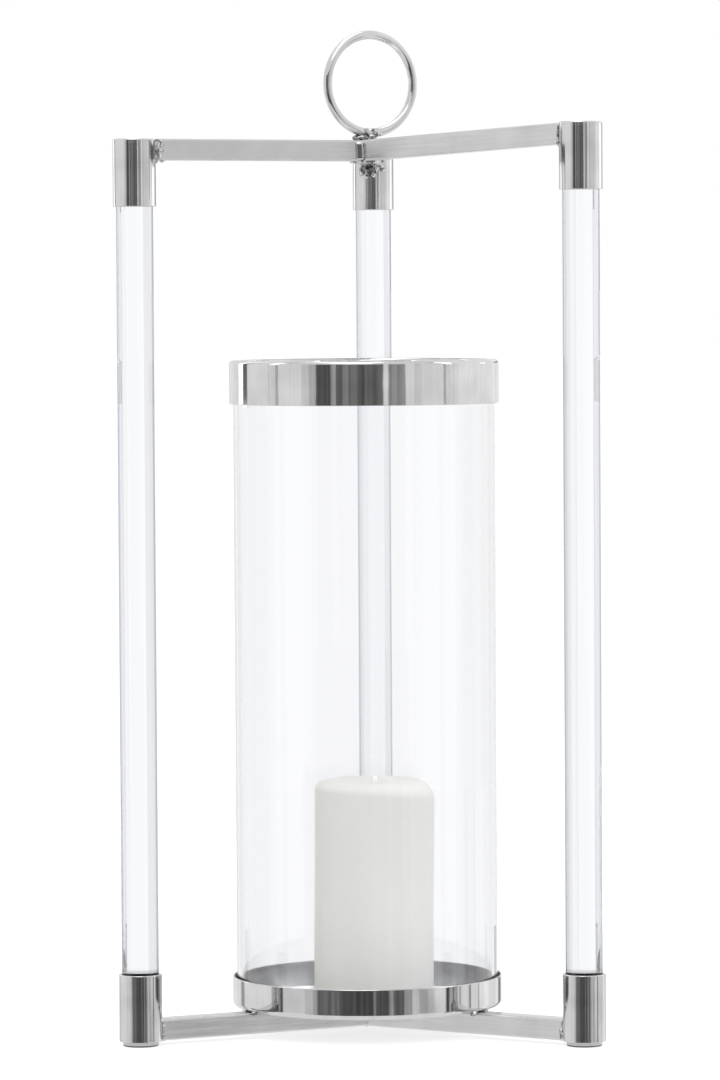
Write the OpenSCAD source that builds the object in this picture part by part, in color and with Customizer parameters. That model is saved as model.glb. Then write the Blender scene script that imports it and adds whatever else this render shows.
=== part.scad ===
// Candle lantern on three clear rods: two three-armed frames of square tube,
// joined by clear rods in metal ferrules, a hanging ring on the upper hub, a
// shallow tray on the lower frame, a loose glass cylinder with a metal rim band
// and a pillar candle.
// Z is up and the origin is on the floor, at the centre of the three posts.

/* [Frame] */
// Radius of the circle that the three posts stand on
post_circle_r = 144.5; // [115:0.5:200]
// Height of the left and back ferrules above the floor
frame_h = 511; // [420:1:660]
// How much taller the right post stands, which tips its upper arm
right_post_rise = 8; // [0:0.5:12]

/* [Posts] */
// Diameter of the clear rods
rod_d = 21; // [16:0.5:26]
// Gap between a rod and the bore of its ferrule, for the glue
rod_clearance = 0.2; // [0.1:0.05:0.4]
// Wall of the ferrule tube
ferrule_wall = 1.5; // [1:0.1:2.5]
// Length of a ferrule, its cap included
ferrule_h = 38; // [30:0.5:50]
// Thickness of the cap's visible disc
cap_disc_h = 2; // [1.5:0.5:4]
// Depth of the cap's spigot inside the tube
cap_spigot_h = 3; // [2:0.5:6]
// Rounding of the cap's upper edge
cap_edge_r = 0.8; // [0.3:0.1:1.2]
// Thickness of the plug under a rod
plug_h = 4; // [2:0.5:8]
// Diameter of a foot pad
foot_d = 20; // [14:0.5:21]
// Thickness of a foot pad
foot_h = 2.6; // [1.5:0.1:5]

/* [Arms] */
// Width and height of the square tube
bar_w = 12; // [10:0.5:16]
// Wall of the square tube
bar_wall = 1.2; // [0.8:0.1:2]
// Outer corner radius of the square tube
bar_corner_r = 1; // [0.5:0.1:2]

/* [Welds] */
// Length of a weld along the arm, from the ferrule
weld_len = 4.5; // [3:0.5:7]
// Height of the upper welds above the faces of the arm
weld_throat = 1.2; // [0.6:0.1:2]
// Height of the lower welds, which are ground almost flush
ground_weld_throat = 0.4; // [0.2:0.1:1]
// Radius of the blob below a lower arm, clear of the floor
ground_weld_blob = 0.8; // [0.4:0.1:1.2]
// Radius of the blob below the left upper arm
weld_blob_left = 2.5; // [1.5:0.5:5]
// Radius of the blob below the right upper arm
weld_blob_right = 3.5; // [1.5:0.5:5]
// Radius of the blob below the back upper arm
weld_blob_back = 7; // [1.5:0.5:8]
// Radius of the beads under the hub seams
hub_bead_r = 1.2; // [0.8:0.1:2]
// Radius of the beads that hold the tray
tray_bead_r = 1.8; // [1:0.1:2.5]

/* [Hanging ring] */
// Outer diameter of the ring
ring_od = 61; // [40:1:90]
// Diameter of its wire
ring_wire_d = 5; // [3:0.1:8]
// Height of the weld foot between the hub and the ring
ring_foot_h = 1.8; // [1:0.1:4]
// Direction of the ring's plane, from the +X axis
ring_turn = 32; // [-90:1:90]
// How far the ring sits from the hub's centre, along its own plane
ring_offset = 5.4; // [0:0.1:6]

/* [Tray] */
// Outer diameter of the tray
tray_d = 154.8; // [126:0.2:190]
// Height of the tray
tray_h = 17.3; // [12:0.1:30]
// Sheet thickness of the tray
tray_wall = 1; // [0.8:0.1:1.5]
// Outer corner radius between the tray's floor and wall
tray_corner_r = 3; // [2:0.1:5]

/* [Glass] */
// Gap between the glass and the wall of the tray
glass_clearance = 1.4; // [0.5:0.1:3]
// Wall of the glass cylinder
glass_wall = 3; // [2:0.1:5]
// Rounding of the glass's fire-polished edges
glass_edge_r = 1.2; // [0.5:0.1:2]
// Gap between the glass's lower edge and the curve of the tray's floor
glass_foot_gap = 0.3; // [0.2:0.1:0.6]
// Length of the glass cylinder
glass_h = 368.6; // [300:0.2:450]

/* [Rim band] */
// Height of the band
band_h = 25; // [15:0.5:40]
// Sheet thickness of the band
band_wall = 1.4; // [0.8:0.1:2]
// Gap between the band's skirt and the glass, for the glue
band_clearance = 1; // [0.2:0.1:1.5]
// Outer rounding of the band's upper edges
band_edge_r = 2; // [0.4:0.1:2.6]
// Depth of the band's lip inside the glass
band_lip_h = 6; // [3:0.5:12]
// Thickness of that lip
band_lip_wall = 1; // [0.6:0.1:1.5]
// Gap between the lip and the inside of the glass
band_lip_gap = 0.3; // [0.1:0.1:1]

/* [Candle] */
// Diameter of the candle
candle_d = 69; // [50:1:90]
// Height of the candle
candle_h = 129; // [80:1:200]
// Rounding of the candle's shoulder
candle_shoulder_r = 5; // [2:0.5:8]
// Rounding of the candle's lower edge
candle_base_r = 1.5; // [0.5:0.5:3]
// Radius of the shallow dish in the candle's top
candle_dish_r = 25; // [15:1:27]
// Depth of that dish
candle_dish_h = 2; // [1:0.5:4]
// How far the candle stands to the right of the tray's centre
candle_offset = 4; // [0:0.5:15]
// Diameter of the wick
wick_d = 2.4; // [1.6:0.1:4]
// How far the wick stands out of the dish
wick_stub = 4; // [3:0.5:12]

/* [Hidden] */

LEFT = 0;
RIGHT = 1;
BACK = 2;
post_angle = [210, 330, 90];
post_rise = [0, right_post_rise, 0];
weld_blob_r = [weld_blob_left, weld_blob_right, weld_blob_back];

ferrule_bore = rod_d + 2 * rod_clearance;
ferrule_d = ferrule_bore + 2 * ferrule_wall;
rod_z0 = foot_h + plug_h;
bottom_arm_z = foot_h + bar_w / 2;
top_arm_z = frame_h - bar_w / 2;

tray_z = foot_h + bar_w;
tray_floor_z = tray_z + tray_wall;
glass_d = tray_d - 2 * tray_wall - 2 * glass_clearance;
glass_top_z = tray_floor_z + glass_h;
// The lower edge is rounded at least enough to clear the curve inside the tray
tray_curve_r = tray_corner_r - tray_wall;
glass_foot_r = min(glass_wall / 2, max(glass_edge_r, tray_curve_r - glass_clearance + glass_foot_gap));
glass_lip_r = min(glass_wall / 2, glass_edge_r);
band_top_z = glass_top_z + band_wall;
band_inner_r = glass_d / 2 + band_clearance;
band_outer_r = band_inner_r + band_wall;
band_lip_outer_r = glass_d / 2 - glass_wall - band_lip_gap;
band_lip_inner_r = band_lip_outer_r - band_lip_wall;

ring_r = (ring_od - ring_wire_d) / 2;
ring_z = frame_h + ring_foot_h + ring_od / 2;
// Radius of the sphere that cuts the dish, from the dish's own radius and depth
dish_ball_r = (pow(candle_dish_r, 2) + pow(candle_dish_h, 2)) / (2 * candle_dish_h);
// Overlap that makes a cut run past the face it leaves
cut = 1;

// ---- outlines ----

// Square with rounded corners, centred
module rounded_square(w, r) {
    square([w, w - 2 * r], center = true);
    square([w - 2 * r, w], center = true);
    for (x = [-1, 1], y = [-1, 1])
        translate([x * (w / 2 - r), y * (w / 2 - r)]) circle(r = r, $fn = 32);
}

// Half section of a cup: radius, height and the radius of its lower corner
module cup_outline(r, h, corner_r) {
    square([r - corner_r, h]);
    translate([0, corner_r]) square([r, h - corner_r]);
    translate([r - corner_r, corner_r]) circle(r = corner_r, $fn = 48);
}

// ---- places ----

module at_post(i) {
    rotate(post_angle[i]) translate([post_circle_r, 0, 0]) children();
}

// Arms slope from the hub to the height of their post
function arm_slope(rise) = atan(rise / post_circle_r);

module along_arm(i, z, rise) {
    rotate(post_angle[i]) translate([0, 0, z]) rotate([0, -arm_slope(rise), 0]) children();
}

// ---- posts ----

module tube(d, bore, h) {
    difference() {
        cylinder(d = d, h = h, $fn = 96);
        translate([0, 0, -cut]) cylinder(d = bore, h = h + 2 * cut, $fn = 96);
    }
}

module foot(i) {
    color("dimgray") at_post(i) cylinder(d = foot_d, h = foot_h, $fn = 64);
}

module bottom_plug(i) {
    color("silver") at_post(i) translate([0, 0, foot_h]) cylinder(d = ferrule_bore, h = plug_h, $fn = 96);
}

module bottom_ferrule(i) {
    color("silver") at_post(i) translate([0, 0, foot_h]) tube(ferrule_d, ferrule_bore, ferrule_h);
}

module rod(i) {
    rod_z1 = frame_h + post_rise[i] - cap_disc_h - cap_spigot_h;
    color("aliceblue", 0.5) at_post(i) translate([0, 0, rod_z0])
        cylinder(d = rod_d, h = rod_z1 - rod_z0, $fn = 96);
}

module top_ferrule(i) {
    tube_h = ferrule_h - cap_disc_h;
    color("silver") at_post(i) translate([0, 0, frame_h + post_rise[i] - ferrule_h])
        tube(ferrule_d, ferrule_bore, tube_h);
}

// Cap with a rounded upper edge, its spigot down in the bore of the ferrule
module top_cap(i) {
    color("silver") at_post(i) translate([0, 0, frame_h + post_rise[i] - cap_disc_h]) {
        translate([0, 0, cap_disc_h]) mirror([0, 0, 1]) rotate_extrude($fn = 96)
            cup_outline(ferrule_d / 2, cap_disc_h, cap_edge_r);
        translate([0, 0, -cap_spigot_h]) cylinder(d = ferrule_bore, h = cap_spigot_h, $fn = 96);
    }
}

// ---- arms ----

// Wedge of one third of the plan, which mitres an arm against its neighbours
module mitre_wedge(i, z, h) {
    reach = 2 * post_circle_r;
    rotate(post_angle[i]) translate([0, 0, z]) linear_extrude(h)
        polygon([[0, 0], [reach * cos(60), -reach * sin(60)], [reach * cos(60), reach * sin(60)]]);
}

module arm_bar(i, z, rise, w, r) {
    along_arm(i, z, rise) translate([-bar_w, 0, 0]) rotate([90, 0, 90])
        linear_extrude(bar_w + post_circle_r / cos(arm_slope(rise))) rounded_square(w, r);
}

// Square tube, mitred at the hub and coped to the outside of its ferrule
module arm(i, z, rise) {
    color("lightgray") intersection() {
        difference() {
            arm_bar(i, z, rise, bar_w, bar_corner_r);
            arm_bar(i, z, rise, bar_w - 2 * bar_wall, bar_corner_r / 4);
            at_post(i) translate([0, 0, z - 2 * bar_w])
                cylinder(d = ferrule_d, h = 4 * bar_w, $fn = 96);
        }
        mitre_wedge(i, z - 2 * bar_w, 4 * bar_w);
    }
}

module bottom_arm(i) {
    arm(i, bottom_arm_z, 0);
}

module top_arm(i) {
    arm(i, top_arm_z, post_rise[i]);
}

// ---- welds ----

// Raised seam round the sides and the underside of an arm where it meets its
// ferrule, with a blob in the corner below
module ferrule_weld(i, z, rise, throat, blob_r) {
    weld_x0 = post_circle_r - ferrule_d / 2 - weld_len;
    color("gainsboro") difference() {
        union() {
            intersection() {
                arm_bar(i, z, rise, bar_w + 2 * throat, bar_corner_r + throat);
                rotate(post_angle[i]) translate([weld_x0, -bar_w, z + rise - bar_w])
                    cube([weld_len + ferrule_d / 2, 2 * bar_w, 1.5 * bar_w]);
            }
            rotate(post_angle[i])
                translate([post_circle_r - ferrule_d / 2 + blob_r / 3, 0, z + rise - bar_w / 2])
                    sphere(r = blob_r, $fn = 48);
        }
        arm_bar(i, z, rise, bar_w, bar_corner_r);
        at_post(i) translate([0, 0, z - 2 * bar_w]) cylinder(d = ferrule_d, h = 4 * bar_w, $fn = 96);
    }
}

module bottom_ferrule_welds() {
    for (i = [LEFT, RIGHT, BACK]) ferrule_weld(i, bottom_arm_z, 0, ground_weld_throat, ground_weld_blob);
}

module top_ferrule_welds() {
    for (i = [LEFT, RIGHT, BACK])
        ferrule_weld(i, top_arm_z, post_rise[i], weld_throat, weld_blob_r[i]);
}

// Beads under the three mitre seams of a hub
module hub_weld(z, rises) {
    seam_len = bar_w / 2 / sin(60) + hub_bead_r / 2;
    color("gainsboro") difference() {
        for (i = [LEFT, RIGHT, BACK])
            rotate(post_angle[i] + 60) translate([0, 0, z - bar_w / 2]) {
                rotate([0, 90, 0]) cylinder(r = hub_bead_r, h = seam_len, $fn = 32);
                translate([seam_len, 0, 0]) sphere(r = hub_bead_r, $fn = 32);
            }
        for (i = [LEFT, RIGHT, BACK]) arm_bar(i, z, rises[i], bar_w, bar_corner_r);
    }
}

module bottom_hub_weld() {
    hub_weld(bottom_arm_z, [0, 0, 0]);
}

module top_hub_weld() {
    hub_weld(top_arm_z, post_rise);
}

// ---- hanging ring ----

module ring_place() {
    rotate(ring_turn) translate([ring_offset, 0, ring_z]) rotate([90, 0, 0]) children();
}

module ring_wire(wire_d) {
    ring_place() rotate_extrude($fn = 96) translate([ring_r, 0]) circle(d = wire_d, $fn = 48);
}

module hanging_ring() {
    color("silver") ring_wire(ring_wire_d);
}

// Bead along the foot of the ring, down to the upper faces of the arms
module ring_weld() {
    foot_r = ring_foot_h / 2 + ring_wire_d / 4;
    color("gainsboro") difference() {
        rotate(ring_turn) translate([ring_offset / 2, 0, frame_h + foot_r / 2]) {
            rotate([0, 90, 0]) cylinder(r = foot_r, h = 2 * foot_r, center = true, $fn = 48);
            for (s = [-1, 1]) translate([s * foot_r, 0, 0]) sphere(r = foot_r, $fn = 48);
        }
        ring_wire(ring_wire_d);
        for (i = [LEFT, RIGHT, BACK]) arm_bar(i, top_arm_z, post_rise[i], bar_w, bar_corner_r);
        translate([0, 0, frame_h - 2 * bar_w]) cylinder(r = bar_w, h = 2 * bar_w, $fn = 48);
    }
}

// ---- tray ----

module tray() {
    color("silver") translate([0, 0, tray_z]) rotate_extrude($fn = 128) difference() {
        cup_outline(tray_d / 2, tray_h, tray_corner_r);
        translate([0, tray_wall])
            cup_outline(tray_d / 2 - tray_wall, tray_h, tray_corner_r - tray_wall);
    }
}

// Beads on both sides of each arm, in the corner under the rounded edge of the tray
module tray_welds() {
    color("gainsboro") difference() {
        for (i = [LEFT, RIGHT, BACK], s = [-1, 1])
            rotate(post_angle[i])
                translate([tray_d / 2 - tray_corner_r / 2, s * bar_w / 2, tray_z])
                    sphere(r = tray_bead_r, $fn = 48);
        translate([0, 0, tray_z]) rotate_extrude($fn = 128)
            cup_outline(tray_d / 2, tray_h, tray_corner_r);
        for (i = [LEFT, RIGHT, BACK]) arm_bar(i, bottom_arm_z, 0, bar_w, bar_corner_r);
    }
}

// ---- glass and its rim band ----

// Half section of the glass: a straight wall with rounded ends
module glass_outline() {
    r0 = glass_d / 2 - glass_wall;
    r1 = glass_d / 2;
    translate([r0, glass_foot_r]) square([glass_wall, glass_h - glass_foot_r - glass_lip_r]);
    for (end = [[0, glass_foot_r], [glass_h, glass_lip_r]]) {
        z = end[0];
        edge_r = end[1];
        toward = z == 0 ? 1 : -1;
        for (x = [r0 + edge_r, r1 - edge_r])
            translate([x, z + toward * edge_r]) circle(r = edge_r, $fn = 48);
        if (glass_wall > 2 * edge_r)
            translate([r0 + edge_r, min(z, z + toward * edge_r)])
                square([glass_wall - 2 * edge_r, edge_r]);
    }
}

module glass_cylinder() {
    color("lightcyan", 0.35) translate([0, 0, tray_floor_z]) rotate_extrude($fn = 128) glass_outline();
}

// Section of the band: a skirt outside the glass, a flat top and a short lip inside
module band_outline() {
    difference() {
        union() {
            translate([band_lip_inner_r, 0])
                square([band_outer_r - band_lip_inner_r, band_h - band_edge_r]);
            translate([band_lip_inner_r + band_edge_r, band_h - 2 * band_edge_r])
                square([band_outer_r - band_lip_inner_r - 2 * band_edge_r, 2 * band_edge_r]);
            for (x = [band_lip_inner_r + band_edge_r, band_outer_r - band_edge_r])
                translate([x, band_h - band_edge_r]) circle(r = band_edge_r, $fn = 48);
        }
        translate([band_lip_outer_r, -cut])
            square([band_inner_r - band_lip_outer_r, band_h - band_wall + cut]);
        translate([band_lip_inner_r - cut, -cut])
            square([band_lip_wall + 2 * cut, band_h - band_lip_h + cut]);
    }
}

module glass_rim_band() {
    color("silver") translate([0, 0, band_top_z - band_h]) rotate_extrude($fn = 128) band_outline();
}

// ---- candle ----

module at_candle() {
    translate([candle_offset, 0, tray_floor_z]) children();
}

module candle() {
    color("ivory") at_candle() difference() {
        rotate_extrude($fn = 96) {
            cup_outline(candle_d / 2, candle_h / 2, candle_base_r);
            translate([0, candle_h]) mirror([0, 1])
                cup_outline(candle_d / 2, candle_h / 2 + cut, candle_shoulder_r);
        }
        translate([0, 0, candle_h - candle_dish_h + dish_ball_r]) sphere(r = dish_ball_r, $fn = 128);
        translate([0, 0, -cut]) cylinder(d = wick_d, h = candle_h + 2 * cut, $fn = 32);
    }
}

module wick() {
    color("linen") at_candle() cylinder(d = wick_d, h = candle_h - candle_dish_h + wick_stub, $fn = 32);
}

foot(LEFT);  // left_foot
foot(RIGHT);  // right_foot
foot(BACK);  // back_foot
bottom_plug(LEFT);  // left_bottom_plug
bottom_plug(RIGHT);  // right_bottom_plug
bottom_plug(BACK);  // back_bottom_plug
bottom_ferrule(LEFT);  // left_bottom_ferrule
bottom_ferrule(RIGHT);  // right_bottom_ferrule
bottom_ferrule(BACK);  // back_bottom_ferrule
rod(LEFT);  // left_rod
rod(RIGHT);  // right_rod
rod(BACK);  // back_rod
top_ferrule(LEFT);  // left_top_ferrule
top_ferrule(RIGHT);  // right_top_ferrule
top_ferrule(BACK);  // back_top_ferrule
top_cap(LEFT);  // left_top_cap
top_cap(RIGHT);  // right_top_cap
top_cap(BACK);  // back_top_cap
bottom_arm(LEFT);  // left_bottom_arm
bottom_arm(RIGHT);  // right_bottom_arm
bottom_arm(BACK);  // back_bottom_arm
top_arm(LEFT);  // left_top_arm
top_arm(RIGHT);  // right_top_arm
top_arm(BACK);  // back_top_arm
bottom_ferrule_welds();
top_ferrule_welds();
bottom_hub_weld();
top_hub_weld();
hanging_ring();
ring_weld();
tray();
tray_welds();
glass_cylinder();
glass_rim_band();
candle();
wick();
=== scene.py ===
# %% [markdown]
# # A candle lantern on three clear rods
# This notebook dresses a imported CAD model of a lantern: two welded three-armed frames, three
# clear rods held in nickel-plated ferrules, a hanging ring, a tray, a glass cylinder with a
# rim band, and a pillar candle. The CAD fixes every size and place. Blender's job is the look:
# smooth curved surfaces, weld beads, and materials that behave like the real ones.
# The first cell loads the CAD frame, whose node boxes give the sizes of the finished pieces.

# %% Load the CAD frame
import math

import bmesh
import bpy
import numpy as np
from mathutils import Matrix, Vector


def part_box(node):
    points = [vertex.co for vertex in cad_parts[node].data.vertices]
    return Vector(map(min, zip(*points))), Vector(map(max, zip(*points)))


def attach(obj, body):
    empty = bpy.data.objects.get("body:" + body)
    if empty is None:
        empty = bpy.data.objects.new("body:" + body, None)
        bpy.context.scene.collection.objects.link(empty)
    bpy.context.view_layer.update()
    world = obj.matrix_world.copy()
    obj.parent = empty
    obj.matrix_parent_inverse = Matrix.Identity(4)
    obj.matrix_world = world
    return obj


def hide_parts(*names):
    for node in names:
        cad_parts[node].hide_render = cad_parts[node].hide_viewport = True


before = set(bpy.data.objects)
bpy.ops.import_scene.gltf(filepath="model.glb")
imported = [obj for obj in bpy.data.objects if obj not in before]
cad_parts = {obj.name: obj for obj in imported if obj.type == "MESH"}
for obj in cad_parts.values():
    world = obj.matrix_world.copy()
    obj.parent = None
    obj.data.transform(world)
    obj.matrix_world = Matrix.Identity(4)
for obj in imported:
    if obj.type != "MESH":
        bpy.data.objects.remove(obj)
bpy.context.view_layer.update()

mm = 0.001

# %% [markdown]
# ## Reading sizes from the frame
# Nothing is typed twice: a post's centre, a tube's radius or the height of the tray all come
# from the boxes of the CAD nodes. Only details that a box can't show, such as the wall of a
# folded band or the size of a polished edge, are named here in millimetres.

# %% Sizes
SIDES = ("left", "right", "back")


def size_of(node):
    """Lowest corner, highest corner, centre and extents of a CAD node, as arrays in metres."""
    low, high = (np.array(corner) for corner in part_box(node))
    return low, high, (low + high) / 2, high - low


bar_w = size_of("back_top_arm")[3][0]
rod_r = size_of("back_rod")[3][0] / 2
bore_r = size_of("back_bottom_plug")[3][0] / 2
ferrule_r = size_of("back_top_ferrule")[3][0] / 2
post_circle_r = size_of("back_rod")[2][1]
hub_z = {"top": size_of("back_top_arm")[2][2], "bottom": size_of("back_bottom_arm")[2][2]}
post_angle = {"left": math.radians(210), "right": math.radians(330), "back": math.radians(90)}
post_rise = {side: size_of(side + "_top_cap")[1][2] - size_of("left_top_cap")[1][2]
             for side in SIDES}

bar_corner_r = 1.0 * mm
edge_r = 0.3 * mm
cap_disc_h = 2.0 * mm
cap_edge_r = 0.8 * mm
tray_wall = 1.0 * mm
tray_corner_r = 3.0 * mm
glass_wall = 3.0 * mm
glass_edge_r = 1.2 * mm
band_wall = 1.4 * mm
band_edge_r = 2.0 * mm
band_lip_h = 6.0 * mm
band_lip_wall = 1.0 * mm
print("post circle", round(post_circle_r / mm, 1), "mm,",
      "ferrule radius", round(ferrule_r / mm, 2), "mm")

# %% [markdown]
# ## Surfaces from numbers
# Every new piece is a grid of points: rows run along the piece and columns run round it. Once
# the grid is an array, one function turns it into a mesh with quads, a UV map in metres,
# merged poles and seams, and faces that point outwards. Working with whole arrays keeps the
# shapes exact and the code short, and a UV map in metres lets a material's pattern have a
# real size.

# %% Grid to mesh
def patch(grid, closed_rows=False):
    """Quads and UVs of one grid of points, shape (rows, columns, 3). Columns always close.

    Quad (i, j) joins points (i, j), (i, j+1), (i+1, j+1), (i+1, j). u is the length walked
    round the widest row, and v the length walked along the longest column, in metres.
    """
    rows, columns = grid.shape[:2]
    last = rows if closed_rows else rows - 1
    i, j = np.arange(last)[:, None], np.arange(columns)[None, :]
    i_next, j_next = (i + 1) % rows, (j + 1) % columns
    quads = np.stack([i * columns + j, i * columns + j_next,
                      i_next * columns + j_next, i_next * columns + j], -1).reshape(-1, 4)
    round_steps = np.linalg.norm(np.roll(grid, -1, axis=1) - grid, axis=2).max(axis=0)
    along_steps = np.linalg.norm(np.roll(grid, -1, axis=0) - grid, axis=2).max(axis=1)
    u = np.concatenate([[0], np.cumsum(round_steps)])
    v = np.concatenate([[0], np.cumsum(along_steps)])
    corners_u = np.stack([u[j], u[j + 1], u[j + 1], u[j]], -1) + 0 * i[..., None]
    corners_v = np.stack([v[i], v[i], v[i + 1], v[i + 1]], -1) + 0 * j[..., None]
    return grid.reshape(-1, 3), quads, np.stack([corners_u, corners_v], -1).reshape(-1, 2)


def make_piece(name, patches, material, body, stands_for=()):
    """Joins patches into one mesh object that rides on a body and stands for CAD nodes."""
    starts = np.cumsum([0] + [len(points) for points, _, _ in patches])
    points = np.concatenate([p for p, _, _ in patches])
    quads = np.concatenate([q + start for (_, q, _), start in zip(patches, starts)])
    mesh = bpy.data.meshes.new(name)
    mesh.from_pydata(points.tolist(), [], quads.tolist())
    uv = mesh.uv_layers.new(name="UVMap")
    uv.data.foreach_set("uv", np.concatenate([t for _, _, t in patches]).astype(np.float32).ravel())
    work = bmesh.new()
    work.from_mesh(mesh)
    bmesh.ops.remove_doubles(work, verts=work.verts, dist=1e-7)
    bmesh.ops.recalc_face_normals(work, faces=work.faces)
    work.to_mesh(mesh)
    work.free()
    mesh.shade_smooth()
    mesh.materials.append(material)
    piece = bpy.data.objects.new(name, mesh)
    bpy.context.scene.collection.objects.link(piece)
    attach(piece, body)
    if stands_for:
        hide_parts(*stands_for)
    return piece


def rounded_outline(corners, radii, closed=True, steps=8, ease=0.12 * mm):
    """Outline through the corners with each one replaced by an arc.

    At a corner with half angle h, the arc of radius r starts r / tan(h) away from it and its
    centre lies r / sin(h) along the bisector. One more point is set just outside each end of
    the arc, so that smooth shading stays flat on the straight stretches.
    """
    corners = np.array(corners, float)
    out = []
    for k, (corner, radius) in enumerate(zip(corners, radii)):
        if radius == 0 or (not closed and k in (0, len(corners) - 1)):
            out.append(corner[None])
            continue
        back, ahead = corners[k - 1] - corner, corners[(k + 1) % len(corners)] - corner
        back, ahead = back / np.linalg.norm(back), ahead / np.linalg.norm(ahead)
        half = np.arccos(np.clip(back @ ahead, -1, 1)) / 2
        start, end = corner + back * radius / np.tan(half), corner + ahead * radius / np.tan(half)
        centre = corner + (back + ahead) / np.linalg.norm(back + ahead) * radius / np.sin(half)
        spoke, last_spoke = start - centre, end - centre
        turned = np.array([-spoke[1], spoke[0]])
        sweep = np.arctan2(turned @ last_spoke, spoke @ last_spoke)
        angle = np.linspace(0, sweep, steps + 1)[:, None]
        arc = centre + np.cos(angle) * spoke + np.sin(angle) * turned
        out += [(start + back * ease)[None], arc, (end + ahead * ease)[None]]
    return np.concatenate(out)


def lathe(outline, centre=(0, 0), turns=128):
    """Points (r, z) of an outline carried round a vertical axis: x = r cos a, y = r sin a."""
    angle = np.linspace(0, 2 * np.pi, turns, endpoint=False)
    r, z = outline[:, :1], outline[:, 1:]
    x, y = centre[0] + r * np.cos(angle), centre[1] + r * np.sin(angle)
    return np.stack([x, y, z + 0 * angle], -1)


sample = rounded_outline([(0, 0), (9 * mm, 0), (9 * mm, 9 * mm), (0, 9 * mm)], [mm] * 4)
print("a rounded square has", len(sample), "points, and its lathe grid is", lathe(sample).shape)

# %% [markdown]
# ## Lumps and beads
# Weld metal is never a clean fillet: it freezes in overlapping ripples and the polishing mop
# only brightens them. Two small helpers draw it. A bead is a tube carried along a path whose
# radius ripples, and a lump is a ball whose radius rises and falls with a few long waves.
# The waves have fixed seeds, so the lantern comes out the same every time.

# %% Waves, beads and lumps
def waves(coordinates, seed, longest, count=6):
    """Sum of sine waves through space with seeded directions and phases, between about -1 and 1.

    coordinates has shape (..., 3) in metres, and longest is the longest wavelength in metres.
    """
    chance = np.random.default_rng(seed)
    direction = chance.normal(size=(count, 3))
    direction /= np.linalg.norm(direction, axis=1, keepdims=True)
    length = longest * chance.uniform(0.4, 1.0, count)
    phase = chance.uniform(0, 2 * np.pi, count)
    turns = coordinates @ (direction * (2 * np.pi / length)[:, None]).T + phase
    return np.sin(turns).mean(-1) * 1.8


def bead(path, radius, across, up, power=1.0, sides=24):
    """Tube along a path: point + radius (cos a across + sin a up), its ends drawn in to points.

    The end factor sqrt(1 - s^8), with s from -1 to 1 along the path, rounds both ends. A
    power below 1 on the cosine and the sine squares the section, as grinding does.
    """
    s = np.linspace(-1, 1, len(path))
    angle = np.linspace(0, 2 * np.pi, sides, endpoint=False)[None, :, None]
    fat = (radius * np.sqrt(np.clip(1 - s ** 8, 0, 1)))[:, None, None]
    wide, high = (np.sign(f) * np.abs(f) ** power for f in (np.cos(angle), np.sin(angle)))
    return path[:, None] + fat * (wide * np.array(across) + high * np.array(up))


def lump(centre, axes, seed, rough=0.12, rows=28, sides=44):
    """Ball with radii axes whose surface is moved in and out by long waves: r = 1 + rough w."""
    polar = np.linspace(0, np.pi, rows)[:, None]
    angle = np.linspace(0, 2 * np.pi, sides, endpoint=False)[None]
    ray = np.stack([np.sin(polar) * np.cos(angle), np.sin(polar) * np.sin(angle),
                    np.cos(polar) + 0 * angle], -1)
    swell = 1 + rough * waves(ray * mm, seed, 2.4 * mm, count=5)
    return np.array(centre) + ray * swell[..., None] * np.array(axes)


def turn(points, angle):
    """Points turned about the vertical axis through the origin."""
    c, s = math.cos(angle), math.sin(angle)
    return points @ np.array([[c, s, 0], [-s, c, 0], [0, 0, 1]])


print("a lump's grid is", lump((0, 0, 0), (mm, mm, mm), seed=1).shape)

# %% [markdown]
# ## Camera
# The lantern is seen from just right of straight ahead, with a long lens from over three
# metres away, so the rods stay almost parallel. The camera is level with the upper part of
# the glass and looks down a little, which opens the tray into a flat ellipse while the frame
# on top is seen slightly from below. Three turns about its own axes place it: azimuth about
# the vertical, tilt about the picture's horizontal, and a very small roll. Angles are in
# radians and lengths in metres.

# %% Camera
camera_azimuth = 0.0431
camera_distance = 3.3014
camera_height = 0.4294
camera_tilt = 0.0446
camera_roll = -0.0061
camera_shift_left = 0.45 * mm
camera_turn_right = 0.0007
camera_lens = 191.85

camera = bpy.data.objects.new("camera", bpy.data.cameras.new("camera"))
bpy.context.scene.collection.objects.link(camera)
camera.data.lens = camera_lens
camera.data.sensor_width = 36
camera.data.clip_start, camera.data.clip_end = 0.1, 100
camera.matrix_world = (
    Matrix.Translation((camera_distance * math.sin(camera_azimuth) - camera_shift_left,
                        -camera_distance * math.cos(camera_azimuth), camera_height))
    @ Matrix.Rotation(camera_azimuth + camera_turn_right, 4, "Z")
    @ Matrix.Rotation(math.pi / 2 - camera_tilt, 4, "X")
    @ Matrix.Rotation(camera_roll, 4, "Z"))
bpy.context.scene.camera = camera
bpy.context.scene.view_settings.view_transform = "Standard"
print("camera at", [round(v, 3) for v in camera.matrix_world.translation])

# %% [markdown]
# ## Nodes
# A material is a small network of nodes that ends in a Principled shader. Two helpers keep
# the networks readable: one turns a colour written in sRGB hex into the linear numbers that
# the renderer works in, and one adds a node together with its values and its links.

# %% Colour and node helpers
def linear(hex_colour):
    """sRGB hex to linear RGBA: c / 12.92 up to 0.04045, and ((c + 0.055) / 1.055) ^ 2.4 above."""
    c = np.array([int(hex_colour[k:k + 2], 16) / 255 for k in (1, 3, 5)])
    c = np.where(c <= 0.04045, c / 12.92, ((c + 0.055) / 1.055) ** 2.4)
    return tuple(float(v) for v in c) + (1.0,)


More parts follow.
